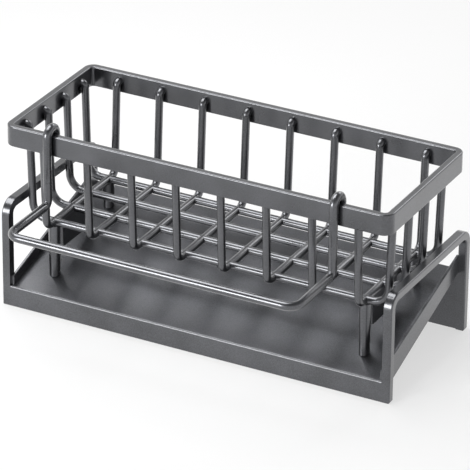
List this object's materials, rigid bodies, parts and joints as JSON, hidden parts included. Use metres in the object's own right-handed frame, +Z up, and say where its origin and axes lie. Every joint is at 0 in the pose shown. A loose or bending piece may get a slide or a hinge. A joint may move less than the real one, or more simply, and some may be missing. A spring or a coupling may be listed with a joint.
{
  "type": "sponge holder",
  "caption": "Sink-side sponge holder: wire basket on pegs over a sloping drip tray between upright end frames, with a cloth rail hooked over the rim.",
  "frame": {"origin": "on the worktop, under the middle of the whole object, cloth rail included", "axes": "+X along the length to the right, +Y to the back, away from the cloth rail, +Z up"},
  "size_m": [0.236, 0.1452, 0.1153],
  "materials": {
    "coated_sheet": "satin gunmetal coating on folded steel sheet",
    "coated_bar": "satin gunmetal coating on steel bar",
    "coated_wire": "satin gunmetal coating on round steel wire",
    "coated_rod": "satin gunmetal coating on round steel rod"
  },
  "bodies": {
    "base": {"tray": "coated_sheet", "left_end_frame": "coated_bar", "right_end_frame": "coated_bar"},
    "basket": {"rim_band": "coated_bar", "cross_wire_1": "coated_wire", "cross_wire_2": "coated_wire", "cross_wire_3": "coated_wire", "cross_wire_4": "coated_wire", "cross_wire_5": "coated_wire", "cross_wire_6": "coated_wire", "cross_wire_7": "coated_wire", "cross_wire_8": "coated_wire", "long_wire_1": "coated_wire", "long_wire_2": "coated_wire", "long_wire_3": "coated_wire", "long_wire_4": "coated_wire", "front_left_peg": "coated_bar", "front_right_peg": "coated_bar", "rear_left_peg": "coated_bar", "rear_right_peg": "coated_bar", "left_web": "coated_sheet", "right_web": "coated_sheet"},
    "rail": {"cloth_rail": "coated_rod"}
  },
  "joints": [
    {"name": "basket_lift", "type": "slide", "parent": "base", "child": "basket", "axis": [0, 0, 1], "range_m": [0, 0.06]},
    {"name": "rail_lift", "type": "slide", "parent": "basket", "child": "rail", "axis": [0, 0, 1], "range_m": [0, 0.025]}
  ]
}
